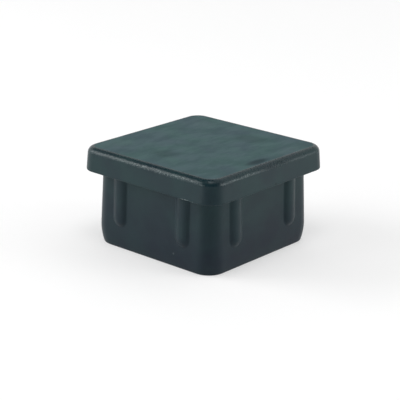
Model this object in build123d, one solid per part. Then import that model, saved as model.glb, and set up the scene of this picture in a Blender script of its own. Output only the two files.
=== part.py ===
from build123d import *

import math
import os

# Square tube plug: one moulding that is pushed into the end of a square tube. Its head covers the
# end of the tube, its hollow skirt goes inside, and crush ribs on the skirt grip the tube's bore.
# Millimetres, +Z up. The origin is the middle of the skirt's rim, on which the loose plug stands.

# The tube that the plug closes.
tube_side = 40.0
tube_wall = 2.0

# The head: as wide as the tube, with leaning sides and a rounded upper edge.
head_height = 5.4
head_corner_radius = 4.2
head_draft = 4.4  # degrees that each side leans in
head_top_radius = 1.6
head_lip_radius = 0.2

# The skirt: upright at its neck, where the end of the tube comes to rest against the head, and
# from there each wall leans out a little on its way down, which keeps the plug tight in the bore.
skirt_depth = 17.3
skirt_clearance = 0.6  # from the neck to the bore
neck_height = 2.2
skirt_flare = 0.33  # that each wall moves out between the neck and the lead-in
skirt_corner_radius = 4.2
skirt_wall = 2.0

# The lead-in: the lower end of each wall curves in, so that the plug finds the bore.
lead_in_height = 4.8
lead_in_inset = 0.5
rim_radius = 0.4

# The crush ribs: half-round, two on each wall, hanging from the head, each with a domed foot.
# They follow the wall, upright and then flared, and stand out from it by as much all the way down.
rib_width = 4.0
rib_crush = 0.2  # that the bore presses out of each rib at the neck
rib_to_corner = 8.0  # from a rib's middle to the side of the neck that it is nearer to
rib_foot_gap = 0.6  # from the end of a rib's dome to the lead-in

# The cavity: open at the rim and closed by a plate at the top.
plate_thickness = 3.0
cavity_draft = 1.0  # degrees that each wall opens towards the rim
cavity_least_radius = 1.0  # of the upright corners, where a thick wall leaves them little
cavity_roof_radius = 1.2
cavity_mouth_radius = 0.3

# What follows from these sizes.
total_height = skirt_depth + head_height
bore_side = tube_side - 2 * tube_wall
skirt_side = bore_side - 2 * skirt_clearance
rib_height = skirt_clearance + rib_crush
rib_round = (rib_width**2 / 4 + rib_height**2) / (2 * rib_height)
rib_length = skirt_depth - lead_in_height - rib_foot_gap
bend_height = skirt_depth - neck_height
rib_lean = math.degrees(math.atan2(skirt_flare, bend_height - lead_in_height))
cavity_side = skirt_side - 2 * skirt_wall
cavity_corner_radius = max(skirt_corner_radius - skirt_wall, cavity_least_radius)
quarter_turns = (0, 90, 180, 270)


def rounded_square(side, corner_radius, height):
    """A flat square with rounded corners, at a height above the rim."""
    return Pos(Z=height) * RectangleRounded(side, side, corner_radius)


def top_edges(shape):
    """The edges round the highest face of a shape."""
    return shape.faces().sort_by(Axis.Z)[-1].edges()


def bottom_edges(shape):
    """The edges round the lowest face of a shape."""
    return shape.faces().sort_by(Axis.Z)[0].edges()


def head():
    """The square head, with leaning sides, a rounded upper edge and a slightly broken lip."""
    outline = rounded_square(tube_side, head_corner_radius, skirt_depth)
    block = extrude(outline, head_height, taper=head_draft)
    block = fillet(top_edges(block), head_top_radius)
    return fillet(bottom_edges(block), head_lip_radius)


def skirt_outline():
    """The skirt seen from one side: upright at the neck, then flared, then curving in to the rim."""
    neck = Vector(skirt_side / 2, bend_height)
    widest = Vector(skirt_side / 2 + skirt_flare, lead_in_height)
    rim = Vector(widest.X - lead_in_inset, 0)
    wall = Line(neck, widest)
    lead_in = TangentArc(widest, rim, tangent=widest - neck)
    rest = Polyline(rim, (0, 0), (0, skirt_depth), (skirt_side / 2, skirt_depth), neck)
    half = make_face(wall + lead_in + rest)
    return half + mirror(half, Plane.YZ)


def skirt():
    """The skirt's outer form: what its outlines from two sides share, with rounded corners."""
    slab = extrude(Plane.XZ * skirt_outline(), tube_side, both=True)
    block = slab & Rot(Z=90) * slab
    level = set(block.edges().filter_by(Plane.XY))
    corners = [edge for edge in block.edges() if edge not in level]
    block = fillet(corners, skirt_corner_radius)
    return fillet(bottom_edges(block), rim_radius)


def crush_rib():
    """One rib, most of it sunk in the wall: upright along the neck, then leaning out, with a round end."""
    drop = rib_length - neck_height - rib_width / 2
    upper = Cylinder(rib_round, neck_height + head_height / 2, align=(Align.CENTER, Align.CENTER, Align.MIN))
    lower = Cylinder(rib_round, drop, align=(Align.CENTER, Align.CENTER, Align.MAX))
    lower += Pos(Z=-drop) * Sphere(rib_round)
    return Pos(Z=bend_height) * (upper + Rot(Y=-rib_lean) * lower)


def crush_ribs():
    """Two ribs on each of the four walls, as far from the corners on either side."""
    out = skirt_side / 2 + rib_height - rib_round
    along = skirt_side / 2 - rib_to_corner
    pair = [Pos(out, side * along) * crush_rib() for side in (-1, 1)]
    return [Rot(Z=turn) * rib for turn in quarter_turns for rib in pair]


def cavity():
    """The hollow inside the skirt, drafted so that it opens towards the rim."""
    depth = total_height - plate_thickness
    block = extrude(rounded_square(cavity_side, cavity_corner_radius, depth), -depth, taper=-cavity_draft)
    return fillet(top_edges(block), min(cavity_roof_radius, cavity_corner_radius))


def tube_plug():
    """The whole moulding, hollowed after the ribs are on, so that they end at the skirt's wall."""
    plug = head() + skirt() + crush_ribs() - cavity()
    mouth = plug.faces().sort_by(Axis.Z)[0].inner_wires()[0]
    return fillet(mouth.edges(), cavity_mouth_radius)


os.makedirs("parts", exist_ok=True)
export_step(tube_plug(), "parts/tube_plug.step")
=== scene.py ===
"""A square tube plug of moulded plastic, dressed for its picture.

The plug is one moulding: a flat square head with leaning sides over a hollow, flared skirt, which
carries two half-round crush ribs on each wall. It stands on the rim of its skirt. One closed skin
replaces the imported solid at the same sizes, with the small fillets that a moulding has, and a
procedural finish follows its Object coordinates.
"""

import logging
import math
from collections.abc import Iterator, Mapping
from dataclasses import dataclass, field
from enum import Enum
from typing import Any, ClassVar

import bmesh
import bpy
from mathutils import Matrix, Vector


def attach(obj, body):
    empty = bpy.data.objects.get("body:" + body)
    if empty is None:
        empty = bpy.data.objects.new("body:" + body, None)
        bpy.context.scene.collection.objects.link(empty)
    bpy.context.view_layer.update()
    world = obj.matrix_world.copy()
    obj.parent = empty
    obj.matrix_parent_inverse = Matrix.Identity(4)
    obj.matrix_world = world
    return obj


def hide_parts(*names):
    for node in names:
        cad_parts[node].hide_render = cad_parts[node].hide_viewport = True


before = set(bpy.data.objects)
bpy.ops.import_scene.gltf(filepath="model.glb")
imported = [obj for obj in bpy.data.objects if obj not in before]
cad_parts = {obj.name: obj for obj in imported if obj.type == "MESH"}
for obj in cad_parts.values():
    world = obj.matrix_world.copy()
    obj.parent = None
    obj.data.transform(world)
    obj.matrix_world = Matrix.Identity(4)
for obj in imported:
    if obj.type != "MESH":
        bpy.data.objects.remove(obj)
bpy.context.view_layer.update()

MM = 0.001
NODE = "tube_plug"
BODY = "root"
PIECE = "moulded_plug"
log = logging.getLogger(NODE)

Colour = tuple[float, float, float, float]
Triple = tuple[float, float, float]


# ---------------------------------------------------------------------------------------------
# Small helpers
# ---------------------------------------------------------------------------------------------


def sine_cosine(angle: float) -> tuple[float, float]:
    """Returns the sine and cosine of an angle in degrees."""
    return math.sin(math.radians(angle)), math.cos(math.radians(angle))


def direction(azimuth: float, elevation: float) -> Vector:
    """Turns two angles into a direction.

    Args:
        azimuth: The angle from -Y towards +X, in degrees.
        elevation: The angle above the level, in degrees.

    Returns:
        The unit vector that points there.
    """
    around, along = sine_cosine(azimuth)
    high, level = sine_cosine(elevation)
    return Vector((level * around, -level * along, high))


def spaced(start: float, end: float, count: int) -> list[float]:
    """Returns evenly spaced values from start to end, both included."""
    return [start + (end - start) * index / count for index in range(count + 1)]


def make_object(name: str, mesh: bmesh.types.BMesh) -> bpy.types.Object:
    """Makes an object of the scene out of a finished mesh, which is freed.

    Args:
        name: The name of the object and of its mesh.
        mesh: Its geometry, in metres.

    Returns:
        The object, at the origin.
    """
    data = bpy.data.meshes.new(name)
    mesh.to_mesh(data)
    mesh.free()
    made = bpy.data.objects.new(name, data)
    bpy.context.scene.collection.objects.link(made)
    return made


# ---------------------------------------------------------------------------------------------
# Nodes
# ---------------------------------------------------------------------------------------------


class Field:
    """A value that varies over a surface: a shader socket that Python's arithmetic works on."""

    def __init__(self, graph: "Graph", socket: bpy.types.NodeSocket | None) -> None:
        """Keeps the graph that new nodes go into and the socket that holds the value."""
        self.graph = graph
        self.socket = socket

    def maths(self, operation: str, *values: Any) -> "Field":
        """Returns the result of a Math node on the values."""
        return self.graph.node("ShaderNodeMath", {"operation": operation}, dict(enumerate(values)))

    def __add__(self, other: Any) -> "Field":
        """Returns self + other."""
        return self.maths("ADD", self, other)

    def __sub__(self, other: Any) -> "Field":
        """Returns self - other."""
        return self.maths("SUBTRACT", self, other)

    def __rsub__(self, other: Any) -> "Field":
        """Returns other - self."""
        return self.maths("SUBTRACT", other, self)

    def __mul__(self, other: Any) -> "Field":
        """Returns self * other."""
        return self.maths("MULTIPLY", self, other)

    __radd__ = __add__
    __rmul__ = __mul__


@dataclass(frozen=True)
class Pattern:
    """A noise pattern.

    Args:
        scale: How many of its features go to a unit of the coordinates that it follows.
        detail: How many finer layers lie over the first.
        roughness: How strong each layer is beside the one before.
    """

    scale: float
    detail: float
    roughness: float


class Graph:
    """The node tree of one material or world."""

    def __init__(self, tree: bpy.types.NodeTree) -> None:
        """Empties the tree and keeps it."""
        tree.nodes.clear()
        self.tree = tree

    def node(self, kind: str, settings: Mapping[str, Any], inputs: Mapping[Any, Any],
             output: Any = 0) -> Field:
        """Adds a node.

        Args:
            kind: The node's type.
            settings: Its properties, which are set before its sockets.
            inputs: The values or fields of its sockets, by name or by number.
            output: The output socket to return, by name or by number.

        Returns:
            The chosen output as a field, which has no socket where the node has no output.
        """
        made = self.tree.nodes.new(kind)
        for name, value in settings.items():
            setattr(made, name, value)
        for name, value in inputs.items():
            if isinstance(value, Field):
                self.tree.links.new(value.socket, made.inputs[name])
            else:
                made.inputs[name].default_value = value
        return Field(self, made.outputs[output] if made.outputs else None)

    def vector(self, operation: str, first: Any, second: Any) -> Field:
        """Returns the vector that a Vector Math node makes of two."""
        return self.node("ShaderNodeVectorMath", {"operation": operation}, {0: first, 1: second}, "Vector")

    def mix(self, share: Any, first: Any, second: Any) -> Field:
        """Returns a mix of two colours; a share of 1 is all the second."""
        return self.node("ShaderNodeMix", {"data_type": "RGBA"}, {0: share, 6: first, 7: second}, 2)

    def noise(self, place: Field, pattern: Pattern) -> Field:
        """Adds a noise pattern.

        Args:
            place: The coordinates that it follows.
            pattern: Its size and detail.

        Returns:
            The noise, from 0 to 1.
        """
        return self.node("ShaderNodeTexNoise", {},
                         {"Vector": place, "Scale": pattern.scale, "Detail": pattern.detail,
                          "Roughness": pattern.roughness}, "Fac")

    def between(self, value: Field, low: float, high: float) -> Field:
        """Returns a smooth step from 0 at low to 1 at high."""
        return self.node("ShaderNodeMapRange", {"interpolation_type": "SMOOTHSTEP"},
                         {"Value": value, "From Min": low, "From Max": high})

    def seen(self) -> Field:
        """Tells what is looked at from what lights the plug.

        Returns:
            1 on rays from the camera and on mirrored or passing ones, and 0 on all others.
        """
        camera, glossy, through = (self.node("ShaderNodeLightPath", {}, {}, f"Is {kind} Ray")
                                   for kind in ("Camera", "Glossy", "Transmission"))
        return self.node("ShaderNodeMath", {"operation": "ADD", "use_clamp": True},
                         {0: camera + glossy, 1: through})


def new_material(name: str) -> tuple[bpy.types.Material, Graph]:
    """Makes a material.

    Args:
        name: Its name.

    Returns:
        The material and its empty graph.
    """
    material = bpy.data.materials.new(name)
    material.use_nodes = True
    return material, Graph(material.node_tree)


def colour(red: float, green: float, blue: float) -> Colour:
    """Returns an opaque colour from its linear parts."""
    return red, green, blue, 1.0


def grey(tone: float) -> Colour:
    """Returns an opaque grey of a linear tone."""
    return colour(tone, tone, tone)


# ---------------------------------------------------------------------------------------------
# Finish
# ---------------------------------------------------------------------------------------------


@dataclass(frozen=True)
class MarkEffect:
    """What a mark does to the plastic under it, from real dirt and scuffs to painted glints on the edges.

    Args:
        tint: The colour that it leaves, or None where it leaves the plastic's own.
        rougher: What it adds to the roughness.
        deeper: How far it sinks the surface, in millimetres.
    """

    tint: Colour | None = None
    rougher: float = 0.0
    deeper: float = 0.0


class Look(Enum):
    """The kinds of mark: pale, which paints glints and highlights on the edges and lightens a speck and
    faint patches, soiled dark, and scuffed by small knocks.
    """

    # Pale: painted glints and highlights on the edges, and a pale speck and faint patches elsewhere.
    PALE = MarkEffect(tint=colour(0.26, 0.31, 0.31))
    DARK = MarkEffect(tint=colour(0.002, 0.010, 0.013), rougher=0.1)
    SCUFFED = MarkEffect(rougher=0.25, deeper=0.09)


@dataclass(frozen=True)
class Mark:
    """A small flaw of the surface, or a painted glint or highlight, inside an ellipsoid.

    Args:
        look: What it does to the plastic.
        centre: Its middle, in millimetres.
        reach: How far it goes along each axis.
        strength: How much of its look it takes, from 0 to 1.
        ragged: How much noise breaks it up, where 0 leaves it whole and 1 leaves half of it.
    """

    CORE: ClassVar[float] = 0.3
    FLECKS: ClassVar[Pattern] = Pattern(scale=2.6, detail=2, roughness=0.6)
    FLECK_BLEND: ClassVar[float] = 0.14

    look: Look
    centre: Triple
    reach: Triple
    strength: float = 1.0
    ragged: float = 0.0

    def mask(self, graph: Graph, place: Field) -> Field:
        """Works out how strongly the mark shows.

        Args:
            graph: The graph of the plug's material.
            place: The point of the surface, in millimetres.

        Returns:
            A value from 0 to the mark's strength, which is full inside its core.
        """
        offset = graph.vector("SUBTRACT", place, self.centre)
        share = graph.vector("DIVIDE", offset, self.reach)
        far = graph.node("ShaderNodeVectorMath", {"operation": "LENGTH"}, {0: share}, "Value")
        inside = (1.0 - graph.between(far, self.CORE, 1.0)) * self.strength
        if not self.ragged:
            return inside
        least = 0.5 * self.ragged
        return inside * graph.between(graph.noise(place, self.FLECKS), least, least + self.FLECK_BLEND)


@dataclass(frozen=True)
class MouldedPlastic:
    """Dark moulded plastic: clouded and matte on its flat top, smoother and glinting round its edge.

    Its colour holds painted light: sheen on the flat top, glints and a highlight on the edges, and
    shade towards the foot.

    Lengths are in millimetres and heights are counted from the rim.

    Args:
        green: The body's greener tint.
        blue: Its bluer, darker tint, which the random patches use and which is also laid towards the foot
        as painted shade.
        sheen_and_bloom_green: The greener tint of the flat top's lighter colour, which is partly a whitish
            blooming and partly painted sheen that stands in for the reflection that the top catches.
        sheen_and_bloom_blue: That lighter colour's bluer tint.
        sheen: The tint of the reflections.
        ior: The refractive index.
        wall_roughness: The roughness of the walls.
        edge_roughness: The roughness of the rounded upper edge.
        top_roughness: The roughness of the flat top.
        cloud_gloss: How much smoother the top is where its clouds are thick.
        grain_gloss: How much the grain varies the roughness.
        grain: The moulded grain.
        grain_depth: Its depth on the walls and the top.
        edge_depth: What it gains in depth on the rounded edge.
        patches: The patches of the two tints.
        patch_limits: The noise at which a patch starts and is full.
        clouds: The bloom's clouds, drawn out to one side.
        cloud_limits: The noise at which a cloud starts and is full.
        cloud_turn: The direction that they are drawn out in, in degrees.
        cloud_scale: How many of them go to a millimetre along each axis.
        wall_bloom: The share of the top's lighter colour on the walls, where the clouds are thick.
        top_cloud: The share of the top's lighter colour, painted sheen and blooming, that the clouds make.
        foot_height: The height below which the painted shade makes the body its bluest and darkest.
        head_height: The height above which the painted shade adds no more blue, so the head stays greener.
        edge_start: The height at which the rounded edge's finish starts.
        edge_blend: The height over which it sets in.
        top_height: The height at which the flat top starts.
        top_blend: The height over which the top's finish sets in.
        marks: The small flaws, and the painted glints and highlight on the edges.
    """

    green: Colour = colour(0.0080, 0.0255, 0.0290)
    blue: Colour = colour(0.0045, 0.0100, 0.0190)
    sheen_and_bloom_green: Colour = colour(0.0465, 0.0960, 0.0950)
    sheen_and_bloom_blue: Colour = colour(0.0540, 0.0784, 0.1070)
    sheen: Colour = colour(0.92, 1.0, 0.99)
    ior: float = 1.3
    wall_roughness: float = 0.42
    edge_roughness: float = 0.28
    top_roughness: float = 0.85
    cloud_gloss: float = 0.10
    grain_gloss: float = 0.08
    grain: Pattern = Pattern(scale=2.2, detail=3, roughness=0.6)
    grain_depth: float = 0.006
    edge_depth: float = 0.06
    patches: Pattern = Pattern(scale=0.13, detail=2, roughness=0.5)
    patch_limits: tuple[float, float] = (0.3, 0.7)
    clouds: Pattern = Pattern(scale=1.0, detail=5, roughness=0.6)
    cloud_limits: tuple[float, float] = (0.32, 0.68)
    cloud_turn: float = -8.0
    cloud_scale: Triple = (0.3, 0.14, 0.3)
    wall_bloom: float = 0.03
    top_cloud: float = 0.22
    foot_height: float = 2.0
    head_height: float = 19.0
    edge_start: float = 21.0
    edge_blend: float = 0.5
    top_height: float = 22.69
    top_blend: float = 0.01
    marks: tuple[Mark, ...] = (
        # Painted highlight: a broken pale line along the lip near the near corner.
        Mark(Look.PALE, (12.8, -20.0, 17.42), (2.4, 0.5, 0.18), 0.9, ragged=0.9),
        # Painted glints: pale flecks along the rounded upper edge of the left wall and of the right wall.
        Mark(Look.PALE, (3.5, -19.4, 21.75), (14.0, 0.9, 0.55), 0.6, ragged=1.08),
        Mark(Look.PALE, (19.4, -9.5, 21.75), (0.9, 7.0, 0.45), 0.4, ragged=1.08),
        Mark(Look.PALE, (6.95, -17.7, 3.25), (0.35, 0.5, 0.35), 0.15),
        Mark(Look.PALE, (-11.5, 12.5, 22.7), (5.0, 4.0, 0.3), 0.03),
        Mark(Look.PALE, (-14.5, -12.5, 22.7), (4.0, 5.0, 0.3), 0.03),
        Mark(Look.PALE, (16.5, 10.5, 22.7), (2.5, 6.0, 0.3), 0.04),
        Mark(Look.DARK, (16.8, -1.8, 22.7), (1.7, 4.6, 0.3), 0.6),
        Mark(Look.DARK, (-1.7, -11.0, 22.7), (4.5, 3.5, 0.3), 0.25),
        Mark(Look.DARK, (4.5, 11.0, 22.7), (5.5, 4.0, 0.3), 0.25),
        Mark(Look.DARK, (19.9, 1.1, 17.7), (0.45, 0.45, 0.35), 0.8),
        Mark(Look.SCUFFED, (19.4, 2.2, 21.9), (1.0, 6.5, 1.3), ragged=0.9),
    )

    def shade(self, graph: Graph, place: Field, height: Field, top: Field, clouds: Field) -> Field:
        """Works out the base colour without marks.

        Args:
            graph: The graph of the plug's material.
            place: The point of the surface, in millimetres.
            height: Its height above the rim.
            top: 1 on the flat top and 0 elsewhere.
            clouds: How thick the clouds are, from 0 to 1.

        Returns:
            The body's colour, with painted shade towards the foot, under the top's lighter colour of painted
            sheen and blooming; each lies between its greener and its bluer colour.
        """
        patches = graph.between(graph.noise(place, self.patches), *self.patch_limits)
        # Painted shade: the body turns bluer and darker towards the foot and stays greener at the head.
        low = 1.0 - graph.between(height, self.foot_height, self.head_height)
        patches_and_foot_shade = patches * 0.5 + low * 0.5
        body = graph.mix(patches_and_foot_shade, self.green, self.blue)
        # Painted sheen: the flat top's lighter colour stands in for the reflection it catches, partly as a
        # whitish blooming.
        sheen_and_bloom = graph.mix(patches_and_foot_shade, self.sheen_and_bloom_green, self.sheen_and_bloom_blue)
        thick = self.wall_bloom * clouds + top * (1 - self.top_cloud + self.top_cloud * clouds)
        return graph.mix(thick, body, sheen_and_bloom)

    def roughness(self, top: Field, edge: Field, clouds: Field, grain: Field) -> Field:
        """Works out the roughness without marks.

        Args:
            top: 1 on the flat top and 0 elsewhere.
            edge: 1 on the rounded edge and 0 elsewhere.
            clouds: How thick the clouds are, from 0 to 1.
            grain: The grain's height, from 0 to 1.

        Returns:
            The roughness of the walls, the edge and the flat top.
        """
        base = self.wall_roughness + top * (self.top_roughness - self.wall_roughness)
        return (base + edge * (self.edge_roughness - self.wall_roughness)
                - top * (clouds - 0.5) * self.cloud_gloss + (grain - 0.5) * self.grain_gloss)

    def build(self) -> bpy.types.Material:
        """Builds the finish.

        Returns:
            The plug's material.
        """
        material, graph = new_material("moulded_plastic")
        metres = graph.node("ShaderNodeTexCoord", {}, {}, "Object")
        place = graph.node("ShaderNodeMapping", {}, {"Vector": metres, "Scale": (1 / MM,) * 3})
        height = graph.node("ShaderNodeSeparateXYZ", {}, {"Vector": place}, "Z")
        top = graph.between(height, self.top_height, self.top_height + self.top_blend)
        edge = graph.between(height, self.edge_start, self.edge_start + self.edge_blend) * (1.0 - top)
        drawn = graph.node("ShaderNodeMapping", {},
                           {"Vector": place, "Rotation": (0, 0, math.radians(self.cloud_turn)),
                            "Scale": self.cloud_scale})
        clouds = graph.between(graph.noise(drawn, self.clouds), *self.cloud_limits)
        grain = graph.noise(place, self.grain)
        shade = self.shade(graph, place, height, top, clouds)
        rough = self.roughness(top, edge, clouds, grain)
        relief = grain * (self.grain_depth + edge * self.edge_depth)
        for mark in self.marks:
            mask = mark.mask(graph, place)
            effect = mark.look.value
            # A tint paints glints and highlights where a pale mark lies on an edge, and dirt or a speck
            # elsewhere.
            if effect.tint:
                shade = graph.mix(mask, shade, effect.tint)
            rough = rough + mask * effect.rougher
            relief = relief - mask * effect.deeper
        bump = graph.node("ShaderNodeBump", {}, {"Height": relief, "Distance": MM, "Strength": 1.0})
        shader = graph.node("ShaderNodeBsdfPrincipled", {},
                            {"Base Color": shade, "Roughness": rough, "Normal": bump,
                             "IOR": self.ior, "Specular Tint": self.sheen})
        graph.node("ShaderNodeOutputMaterial", {}, {"Surface": shader})
        return material


# ---------------------------------------------------------------------------------------------
# Shape
# ---------------------------------------------------------------------------------------------


@dataclass(frozen=True)
class Ring:
    """A level rounded square of the skin, in millimetres.

    Args:
        half: Half the square's side.
        corner: The radius of its corners.
        height: Its height above the rim.
    """

    half: float
    corner: float
    height: float

    @property
    def core(self) -> float:
        """Half the side of the square that the corners' centres lie on."""
        return self.half - self.corner


@dataclass(frozen=True)
class Ribs:
    """The half-round crush ribs: bars with a domed foot, two on each wall, which follow its flare.

    Args:
        width: The width of each on the bare wall.
        height: How far it stands out.
        from_middle: How far it is from the middle of its wall.
        dome_height: The height above the rim at which its foot starts to round.
        foot_height: The height at which it has run out.
        blend: The height of the fillet between it and the wall.
        reach: How far from its middle the wall has close columns for it.
    """

    width: float = 4.0
    height: float = 0.8
    from_middle: float = 9.4
    dome_height: float = 7.4
    foot_height: float = 4.9
    blend: float = 0.2
    reach: float = 2.5

    @property
    def radius(self) -> float:
        """The radius of the bar that each rib is part of."""
        return (self.width**2 / 4 + self.height**2) / (2 * self.height)

    def soften(self, height: float) -> float:
        """Blends a rib into the wall.

        Args:
            height: How far the rib's surface lies over the wall, negative where it lies under it.

        Returns:
            How far the blended surface stands over the wall.
        """
        overlap = max(self.blend - abs(height), 0.0) / self.blend
        return max(height, 0.0) + overlap * overlap * self.blend / 4

    def bulge(self, along: float, height: float) -> float:
        """Works out how far a rib stands over the wall at one point.

        Args:
            along: The point's distance from the middle of its wall.
            height: Its height above the rim.

        Returns:
            The outward distance from the bare wall to the rib's surface.
        """
        across = abs(abs(along) - self.from_middle)
        below = max(self.dome_height - height, 0.0)
        inside = self.radius**2 - across**2 - below**2
        if across > self.reach or inside <= 0:
            return 0.0
        return self.soften(self.height - self.radius + math.sqrt(inside))


@dataclass(frozen=True)
class Head:
    """The square head: leaning sides, a rounded upper edge and a slightly broken lip.

    Args:
        side: Its width at the lip, before the lip is broken.
        base: The height of its underside above the rim.
        height: Its own height.
        corner: The radius of its upright corners at the lip.
        draft: How far each side leans in, in degrees.
        top_radius: The radius of the upper edge.
        lip_radius: The radius of the lip.
        border: The width of the narrow faces beside a rounding.
        inner_border: How far inside the upper edge the flat top's first ring lies.
        edge_steps: How many faces go over the upper edge.
        lip_steps: How many go over the lip.
        side_shares: Where the rings of a side lie, from its top at 0 to its lip at 1.
    """

    side: float = 40.0
    base: float = 17.3
    height: float = 5.4
    corner: float = 4.2
    draft: float = 4.4
    top_radius: float = 1.6
    lip_radius: float = 0.2
    border: float = 0.25
    inner_border: float = 0.75
    edge_steps: int = 16
    lip_steps: int = 6
    side_shares: tuple[float, ...] = (0.08, 0.3, 0.5, 0.7, 0.92)

    def ring(self, half: float, height: float) -> Ring:
        """Returns the ring whose corners share their centres with the lip's."""
        return Ring(half, half - (self.side / 2 - self.corner), self.base + height)

    def arc(self, radius: float, level: float, start: float, end: float, count: int) -> Iterator[Ring]:
        """Goes over a rounded edge that is tangent to the leaning side.

        Args:
            radius: The edge's radius.
            level: The height of its centre above the head's underside.
            start: The tilt of its first normal from the vertical, in degrees.
            end: The tilt of its last normal.
            count: How many rings follow the first.

        Yields:
            The edge's rings.
        """
        _, lean = sine_cosine(self.draft)
        middle = self.side / 2 - level * math.tan(math.radians(self.draft)) - radius / lean
        for angle in spaced(start, end, count):
            out, up = sine_cosine(angle)
            yield self.ring(middle + radius * out, level + radius * up)

    def rings(self) -> Iterator[Ring]:
        """Goes over the head.

        Yields:
            Its rings, from the flat top down to its underside.
        """
        tilt = 90 - self.draft
        edge = list(self.arc(self.top_radius, self.height - self.top_radius, 0, tilt, self.edge_steps))
        lip = list(self.arc(self.lip_radius, self.lip_radius, tilt, 180, self.lip_steps))
        yield self.ring(edge[0].half - self.inner_border, self.height)
        yield self.ring(edge[0].half - self.border, self.height)
        yield from edge
        high, low = edge[-1], lip[0]
        for share in self.side_shares:
            half = high.half + (low.half - high.half) * share
            yield self.ring(half, high.height + (low.height - high.height) * share - self.base)
        yield from lip
        yield self.ring(lip[-1].half - self.border, 0)


@dataclass(frozen=True)
class Skirt:
    """The skirt's outer form: an upright neck, a flared wall and a lead-in that curves to the rim.

    Args:
        neck: Half the neck's width.
        top: The height of the head's underside above the rim.
        neck_height: How much of the wall is upright.
        flare: How far the wall moves out below the neck.
        lead_in: The height of the lead-in.
        inset: How far the lead-in brings the wall back in.
        corner: The radius of the upright corners.
        rim_radius: The radius of the rim's outer edge.
        root_radius: The radius of the fillet under the head.
        border: The width of the narrow faces under that fillet.
        root_steps: How many faces go over the fillet.
        neck_steps: How many go down the neck.
        wall_steps: How many go from there to the ribs' feet.
        foot_steps: How many go down the ribs' feet.
        lead_in_steps: How many go from there to the rim.
        rim_steps: How many go round the rim's outer edge.
    """

    neck: float = 17.4
    top: float = 17.3
    neck_height: float = 2.2
    flare: float = 0.33
    lead_in: float = 4.8
    inset: float = 0.5
    corner: float = 4.2
    rim_radius: float = 0.4
    root_radius: float = 0.2
    border: float = 0.2
    root_steps: int = 3
    neck_steps: int = 5
    wall_steps: int = 12
    foot_steps: int = 22
    lead_in_steps: int = 8
    rim_steps: int = 6

    @property
    def bend(self) -> float:
        """The height at which the upright neck ends and the flare starts."""
        return self.top - self.neck_height

    def lead_in_arc(self) -> tuple[Vector, float]:
        """Works out the lead-in's curve, which leaves the wall at a tangent.

        Returns:
            The curve's centre, as a distance from the middle and a height, and its radius.
        """
        neck = Vector((self.neck, self.bend))
        widest = Vector((self.neck + self.flare, self.lead_in))
        chord = Vector((widest.x - self.inset, 0)) - widest
        along = (widest - neck).normalized()
        inward = Vector((along.y, -along.x))
        radius = chord.length_squared / (2 * chord.dot(inward))
        return widest + inward * radius, radius

    def wall(self, height: float) -> float:
        """Works out how far out the bare wall is.

        Args:
            height: The height above the rim.

        Returns:
            Half the skirt's width there.
        """
        if height >= self.bend:
            return self.neck
        if height >= self.lead_in:
            return self.neck + self.flare * (self.bend - height) / (self.bend - self.lead_in)
        centre, radius = self.lead_in_arc()
        return centre.x + math.sqrt(radius**2 - (height - centre.y) ** 2)

    def root_rings(self) -> Iterator[Ring]:
        """Goes over the small fillet between the head's underside and the neck.

        Yields:
            Its rings, from the head down.
        """
        for angle in spaced(0, 90, self.root_steps):
            out, up = sine_cosine(angle)
            half = self.neck + self.root_radius * (1 - out)
            yield Ring(half, self.corner, self.top - self.root_radius * (1 - up))

    def wall_rings(self, dome: float, foot: float) -> Iterator[Ring]:
        """Goes down the wall, in small steps over the ribs' domed feet.

        Args:
            dome: The height at which the ribs' feet start to round.
            foot: The height at which they have run out.

        Yields:
            The wall's rings.
        """
        upper = spaced(self.top - self.root_radius - self.border, self.bend, self.neck_steps)
        middle = spaced(self.bend, dome, self.wall_steps)[1:]
        feet = spaced(dome, foot, self.foot_steps)[1:]
        lower = spaced(foot, self.rim_start(), self.lead_in_steps)[1:]
        for height in (*upper, *middle, *feet, *lower):
            yield Ring(self.wall(height), self.corner, height)

    def rim_start(self) -> float:
        """Works out where the rim's rounding leaves the lead-in.

        Returns:
            The height above the rim.
        """
        centre, radius = self.lead_in_arc()
        share = self.rim_radius / (radius - self.rim_radius)
        return self.rim_radius + (self.rim_radius - centre.y) * share

    def rim_rings(self) -> Iterator[Ring]:
        """Goes round the rim's outer edge.

        Yields:
            Its rings, down to the flat that the plug stands on.
        """
        centre, radius = self.lead_in_arc()
        drop = centre.y - self.rim_radius
        reach = radius - self.rim_radius
        middle = centre.x + math.sqrt(reach**2 - drop**2)
        start = 90 + math.degrees(math.asin(drop / reach))
        for angle in spaced(start, 180, self.rim_steps)[1:]:
            out, up = sine_cosine(angle)
            half = middle + self.rim_radius * out
            shrink = self.rim_radius * (1 - out)
            yield Ring(half, self.corner - shrink, self.rim_radius * (1 + up))


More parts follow.
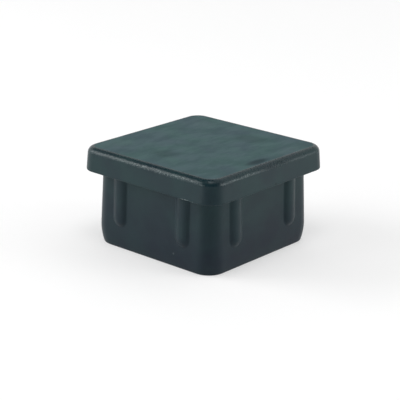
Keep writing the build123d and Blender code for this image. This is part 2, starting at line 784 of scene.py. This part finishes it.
@dataclass(frozen=True)
class Cavity:
    """The hollow inside the skirt, drafted so that it opens towards the rim.

    Args:
        half: Half its width at the roof.
        corner: The radius of its upright corners there.
        roof: The height of its roof above the rim.
        draft: How far each wall leans out towards the rim, in degrees.
        roof_radius: The radius between the walls and the roof.
        mouth_radius: The radius of the rim's inner edge.
        border: The width of the narrow faces beside a rounding.
        mouth_steps: How many faces go over the rim's inner edge.
        wall_steps: How many go up the walls.
        roof_steps: How many go round to the roof.
    """

    half: float = 15.4
    corner: float = 2.2
    roof: float = 19.7
    draft: float = 1.0
    roof_radius: float = 1.2
    mouth_radius: float = 0.3
    border: float = 0.3
    mouth_steps: int = 5
    wall_steps: int = 6
    roof_steps: int = 8

    def wall(self, height: float) -> float:
        """Returns how far out the cavity's wall is at a height above the rim."""
        return self.half + (self.roof - height) * math.tan(math.radians(self.draft))

    def ring(self, half: float, height: float) -> Ring:
        """Returns the ring whose corners share their centres with the roof's."""
        return Ring(half, half - (self.half - self.corner), height)

    def rings(self) -> Iterator[Ring]:
        """Goes over the cavity.

        Yields:
            Its rings, from the rim up to its roof.
        """
        _, lean = sine_cosine(self.draft)
        mouth = self.wall(self.mouth_radius) + self.mouth_radius / lean
        yield self.ring(mouth + self.mouth_radius / 2, 0)
        for angle in spaced(0, 90 - self.draft, self.mouth_steps):
            inward, up = sine_cosine(angle)
            yield self.ring(mouth - self.mouth_radius * inward, self.mouth_radius * (1 - up))
        bend = self.roof - self.roof_radius
        for height in spaced(self.mouth_radius + self.border, bend - self.border, self.wall_steps):
            yield self.ring(self.wall(height), height)
        middle = self.wall(bend) - self.roof_radius / lean
        for angle in spaced(self.draft, 90, self.roof_steps):
            up, out = sine_cosine(angle)
            yield self.ring(middle + self.roof_radius * out, bend + self.roof_radius * up)
        yield self.ring(middle - self.border, self.roof)


@dataclass
class Plug:
    """The whole plug as one closed skin, grown ring by ring out of a single loop of edges.

    Args:
        head: The head's sizes.
        skirt: The skirt's sizes.
        ribs: The crush ribs' sizes.
        cavity: The cavity's sizes.
        finish: The plastic's finish.
        corner_steps: How many faces go round an upright corner.
        rib_columns: How many go across a rib.
        plain_column: The width of the faces beside the ribs, in millimetres.
        weld: How close two points of the loop are made one, in millimetres.
        lift_margin: How far outside the neck the wall may lie that the ribs are raised on.
    """

    head: Head = field(default_factory=Head)
    skirt: Skirt = field(default_factory=Skirt)
    ribs: Ribs = field(default_factory=Ribs)
    cavity: Cavity = field(default_factory=Cavity)
    finish: MouldedPlastic = field(default_factory=MouldedPlastic)
    corner_steps: int = 14
    rib_columns: int = 40
    plain_column: float = 1.3
    weld: float = 1e-4
    lift_margin: float = 1.0

    def columns(self, core: float) -> Iterator[float]:
        """Spreads the columns of a side, close together where the ribs stand.

        Args:
            core: Half the length of the side's straight part.

        Yields:
            Each column's distance from the side's middle, after the first.
        """
        stretch = core / (self.skirt.neck - self.skirt.corner)
        marks = [sign * (self.ribs.from_middle + edge) * stretch
                 for sign, edge in ((-1, self.ribs.reach), (-1, -self.ribs.reach),
                                    (1, -self.ribs.reach), (1, self.ribs.reach))]
        places = [-core, *marks, core]
        for index, (low, high) in enumerate(zip(places, places[1:])):
            plain = max(2, round((high - low) / self.plain_column))
            yield from spaced(low, high, self.rib_columns if index in (1, 3) else plain)[1:]

    def first_loop(self, mesh: bmesh.types.BMesh, ring: Ring) -> list[bmesh.types.BMEdge]:
        """Draws the loop that the skin grows from: a side and its corner, repeated round the middle.

        Args:
            mesh: The mesh that the loop is drawn in.
            ring: The rounded square that it follows.

        Returns:
            The loop's edges.
        """
        core = ring.core
        last = mesh.verts.new((ring.half, -core, ring.height))
        for along in self.columns(core):
            point = mesh.verts.new((ring.half, along, ring.height))
            mesh.edges.new((last, point))
            last = point
        bmesh.ops.spin(mesh, geom=[last], cent=(core, core, ring.height), axis=(0, 0, 1),
                       angle=math.radians(90), steps=self.corner_steps, use_duplicate=False)
        quarter = [*mesh.verts, *mesh.edges]
        bmesh.ops.spin(mesh, geom=quarter, cent=(0, 0, 0), axis=(0, 0, 1),
                       angle=math.radians(360), steps=4, use_duplicate=True)
        bmesh.ops.remove_doubles(mesh, verts=mesh.verts, dist=self.weld)
        return list(mesh.edges)

    def rings(self) -> Iterator[Ring]:
        """Goes over the whole skin.

        Yields:
            Every ring, from the top of the head round the rim to the cavity's roof.
        """
        yield from self.head.rings()
        yield from self.skirt.root_rings()
        yield from self.skirt.wall_rings(self.ribs.dome_height, self.ribs.foot_height)
        yield from self.skirt.rim_rings()
        yield from self.cavity.rings()

    def carry(self, vertex: bmesh.types.BMVert, old: Ring, new: Ring) -> None:
        """Moves a vertex from its place on one ring to the same place on another.

        Args:
            vertex: The vertex to move.
            old: The ring that it lies on.
            new: The ring that it goes to.
        """
        foot = Vector([max(-old.core, min(old.core, value)) for value in vertex.co.xy])
        outward = (vertex.co.xy - foot) / old.corner
        place = foot * (new.core / old.core) + outward * new.corner
        vertex.co = (*place, new.height)

    def raise_ribs(self, mesh: bmesh.types.BMesh) -> None:
        """Lifts the skirt's outer wall where the crush ribs stand on it.

        Args:
            mesh: The grown skin, in millimetres.
        """
        inner = self.cavity.wall(0) + self.skirt.rim_radius
        outer = self.skirt.neck + self.lift_margin
        end = self.skirt.neck - self.skirt.corner
        for vertex in mesh.verts:
            if vertex.co.z > self.skirt.top:
                continue
            for axis, other in ((0, 1), (1, 0)):
                out, along = vertex.co[axis], vertex.co[other]
                if inner < abs(out) < outer and abs(along) < end:
                    lift = self.ribs.bulge(along, vertex.co.z)
                    vertex.co[axis] += math.copysign(lift, out)

    def grow(self) -> bmesh.types.BMesh:
        """Grows the skin.

        Returns:
            The closed skin, in millimetres, with its faces turned outwards.
        """
        mesh = bmesh.new()
        rings = list(self.rings())
        loop = self.first_loop(mesh, rings[0])
        bmesh.ops.contextual_create(mesh, geom=loop)
        for old, new in zip(rings, rings[1:]):
            grown = bmesh.ops.extrude_edge_only(mesh, edges=loop)["geom"]
            loop = [part for part in grown if isinstance(part, bmesh.types.BMEdge)]
            for vertex in (part for part in grown if isinstance(part, bmesh.types.BMVert)):
                self.carry(vertex, old, new)
        bmesh.ops.contextual_create(mesh, geom=loop)
        self.raise_ribs(mesh)
        bmesh.ops.recalc_face_normals(mesh, faces=mesh.faces)
        return mesh

    def dress(self, plug: bpy.types.Object) -> None:
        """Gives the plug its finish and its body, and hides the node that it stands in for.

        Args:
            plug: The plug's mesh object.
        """
        plug.data.materials.append(self.finish.build())
        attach(plug, BODY)
        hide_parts(NODE)

    def build(self) -> bpy.types.Object:
        """Builds the plug and dresses it.

        Returns:
            Its mesh object, in metres and smoothly shaded.
        """
        mesh = self.grow()
        bmesh.ops.scale(mesh, vec=(MM, MM, MM), verts=mesh.verts)
        for face in mesh.faces:
            face.smooth = True
        plug = make_object(PIECE, mesh)
        self.dress(plug)
        return plug


# ---------------------------------------------------------------------------------------------
# Studio
# ---------------------------------------------------------------------------------------------


class Side(Enum):
    """Where a lamp or a dark screen stands, seen from the camera."""

    LEFT = "left"
    FAR_LEFT = "far_left"
    RIGHT = "right"
    ABOVE = "above"
    FRONT = "front"
    BACK = "back"


@dataclass(frozen=True)
class Viewpoint:
    """The camera: where it looks from, and the pixel at which the plug's middle falls.

    Args:
        azimuth: Its direction from the plug, from -Y towards +X, in degrees.
        elevation: Its height above the level, in degrees.
        roll: Its turn about its own axis, in degrees.
        distance: How far it is from the point that it is aimed by, in millimetres.
        focal_pixels: Its focal length, in pixels of the picture.
        image_pixels: The picture's width and height.
        target_height: The height of the point that it is aimed by, in millimetres.
        target_pixel: Where that point falls in the picture.
        sensor: The width of its sensor, in millimetres.
        clip_end: How far it sees, in metres.
    """

    azimuth: float = 41.183
    elevation: float = 19.03
    roll: float = 0.779
    distance: float = 316.62
    focal_pixels: float = 1387.55
    image_pixels: int = 400
    target_height: float = 12.3
    target_pixel: tuple[float, float] = (203.6, 188.5)
    sensor: float = 36.0
    clip_end: float = 10.0

    def axes(self) -> tuple[Vector, Vector, Vector]:
        """Works out how the camera is turned.

        Returns:
            Its right, up and backward directions.
        """
        back = direction(self.azimuth, self.elevation)
        right = back.cross(Vector((0, 0, -1))).normalized()
        up = back.cross(right)
        turn, keep = sine_cosine(self.roll)
        return right * keep + up * turn, up * keep - right * turn, back

    def build(self) -> None:
        """Makes the camera and makes it the scene's."""
        right, up, back = self.axes()
        data = bpy.data.cameras.new("camera")
        data.sensor_width = self.sensor
        data.lens = self.focal_pixels / self.image_pixels * self.sensor
        data.clip_start = self.distance * MM / 10
        data.clip_end = self.clip_end
        scale = self.distance / self.focal_pixels
        across = (self.target_pixel[0] - self.image_pixels / 2) * scale
        over = (self.image_pixels / 2 - self.target_pixel[1]) * scale
        middle = Vector((0, 0, self.target_height))
        place = (middle + back * self.distance - right * across - up * over) * MM
        camera = bpy.data.objects.new("camera", data)
        turn = Matrix((right, up, back)).transposed().to_4x4()
        camera.matrix_world = Matrix.Translation(place) @ turn
        bpy.context.scene.collection.objects.link(camera)
        bpy.context.scene.camera = camera


@dataclass(frozen=True)
class Panel:
    """A flat panel that faces the plug from a distance, in metres.

    Args:
        side: Where it stands, for its name.
        around: Its azimuth from the camera's, in degrees.
        elevation: Its elevation, in degrees.
        width: Its level side.
        height: Its other side.
        distance: How far its middle is from the plug.
    """

    side: Side
    around: float
    elevation: float
    width: float
    height: float
    distance: float = 0.55

    def place(self, facing: float) -> Matrix:
        """Works out where the panel goes.

        Args:
            facing: The camera's azimuth, which the panel's is counted from.

        Returns:
            The matrix that puts it in its place, with its Z axis turned away from the plug.
        """
        back = direction(facing + self.around, self.elevation)
        return (Matrix.Translation(back * self.distance)
                @ back.to_track_quat("Z", "Y").to_matrix().to_4x4())


@dataclass(frozen=True)
class Softbox(Panel):
    """A large lamp of an even radiance.

    Args:
        radiance: How bright its face is, where 1 is white.
    """

    radiance: float = 1.0

    def build(self, facing: float) -> None:
        """Makes the lamp.

        Args:
            facing: The camera's azimuth.
        """
        data = bpy.data.lights.new(f"softbox_{self.side.value}", "AREA")
        data.shape = "RECTANGLE"
        data.size = self.width
        data.size_y = self.height
        data.energy = self.radiance * math.pi * self.width * self.height
        lamp = bpy.data.objects.new(data.name, data)
        lamp.matrix_world = self.place(facing)
        lamp.visible_camera = False
        bpy.context.scene.collection.objects.link(lamp)


@dataclass(frozen=True)
class Screen(Panel):
    """A dark cloth screen, which keeps one side of the plug in shade.

    Args:
        tone: The cloth's colour.
    """

    tone: float = 0.01

    def build(self, facing: float) -> None:
        """Makes the screen.

        Args:
            facing: The camera's azimuth.
        """
        mesh = bmesh.new()
        bmesh.ops.create_grid(mesh, x_segments=1, y_segments=1, size=0.5)
        bmesh.ops.scale(mesh, vec=(self.width, self.height, 1), verts=mesh.verts)
        bmesh.ops.transform(mesh, matrix=self.place(facing), verts=mesh.verts)
        screen = make_object(f"screen_{self.side.value}", mesh)
        screen.visible_camera = False
        material, graph = new_material("dark_cloth")
        cloth = graph.node("ShaderNodeBsdfDiffuse", {}, {"Color": grey(self.tone)})
        graph.node("ShaderNodeOutputMaterial", {}, {"Surface": cloth})
        screen.data.materials.append(material)


@dataclass(frozen=True)
class Studio:
    """The pale floor, the white surroundings, the lamps and the screens.

    Args:
        facing: The camera's azimuth, in degrees.
        floor_size: The floor's side, in metres.
        floor_tone: The floor's colour.
        floor_glow: The share of plain white in the floor where it is only looked at.
        room_tone: The colour of the surroundings.
        panels: The lamps and the screens.
    """

    facing: float
    floor_size: float = 6.0
    floor_tone: float = 0.95
    floor_glow: float = 0.4
    room_tone: float = 1.0
    panels: tuple[Softbox | Screen, ...] = (
        Softbox(Side.LEFT, around=-62, elevation=9, width=0.16, height=0.18, radiance=9.0),
        Softbox(Side.FAR_LEFT, around=-98, elevation=28, width=0.3, height=0.2, radiance=7.4),
        Softbox(Side.RIGHT, around=80, elevation=12.5, width=0.3, height=0.24, radiance=5.2),
        Softbox(Side.ABOVE, around=0, elevation=72, width=0.25, height=0.25, radiance=3.9),
        Screen(Side.FRONT, around=0, elevation=28, width=1.5, height=1.1, distance=0.65),
        Screen(Side.BACK, around=-125, elevation=65, width=0.54, height=0.54, distance=0.6),
    )

    def floor(self) -> None:
        """Lays the floor that the plug stands on: pale, and paler still where it is only looked at."""
        mesh = bmesh.new()
        bmesh.ops.create_grid(mesh, x_segments=1, y_segments=1, size=self.floor_size / 2)
        floor = make_object("floor", mesh)
        material, graph = new_material("pale_floor")
        paper = graph.node("ShaderNodeBsdfDiffuse", {}, {"Color": grey(self.floor_tone)})
        white = graph.node("ShaderNodeEmission", {}, {"Color": grey(1.0)})
        seen = graph.node("ShaderNodeMixShader", {}, {0: graph.seen() * self.floor_glow, 1: paper, 2: white})
        graph.node("ShaderNodeOutputMaterial", {}, {"Surface": seen})
        floor.data.materials.append(material)

    def surroundings(self) -> None:
        """Makes the world a plain white."""
        world = bpy.data.worlds.new("studio")
        world.use_nodes = True
        graph = Graph(world.node_tree)
        light = graph.node("ShaderNodeBackground", {}, {"Color": grey(self.room_tone)})
        graph.node("ShaderNodeOutputWorld", {}, {"Surface": light})
        bpy.context.scene.world = world

    def build(self) -> None:
        """Sets up the whole studio."""
        self.floor()
        self.surroundings()
        for panel in self.panels:
            panel.build(self.facing)


# ---------------------------------------------------------------------------------------------
# Scene
# ---------------------------------------------------------------------------------------------


def main() -> None:
    """Builds the camera, the plug and the studio, and reports each."""
    logging.basicConfig(level=logging.INFO, format="%(name)s: %(message)s")
    bpy.context.scene.view_settings.view_transform = "Standard"
    view = Viewpoint()
    view.build()
    log.info("camera: azimuth %.1f, elevation %.1f", view.azimuth, view.elevation)
    plug = Plug().build()
    triangles = sum(len(face.vertices) - 2 for face in plug.data.polygons)
    log.info("%s: %d faces, %d triangles", plug.name, len(plug.data.polygons), triangles)
    studio = Studio(view.azimuth)
    studio.build()
    log.info("studio: a floor and %d lamps and screens", len(studio.panels))


if __name__ == "__main__":
    main()
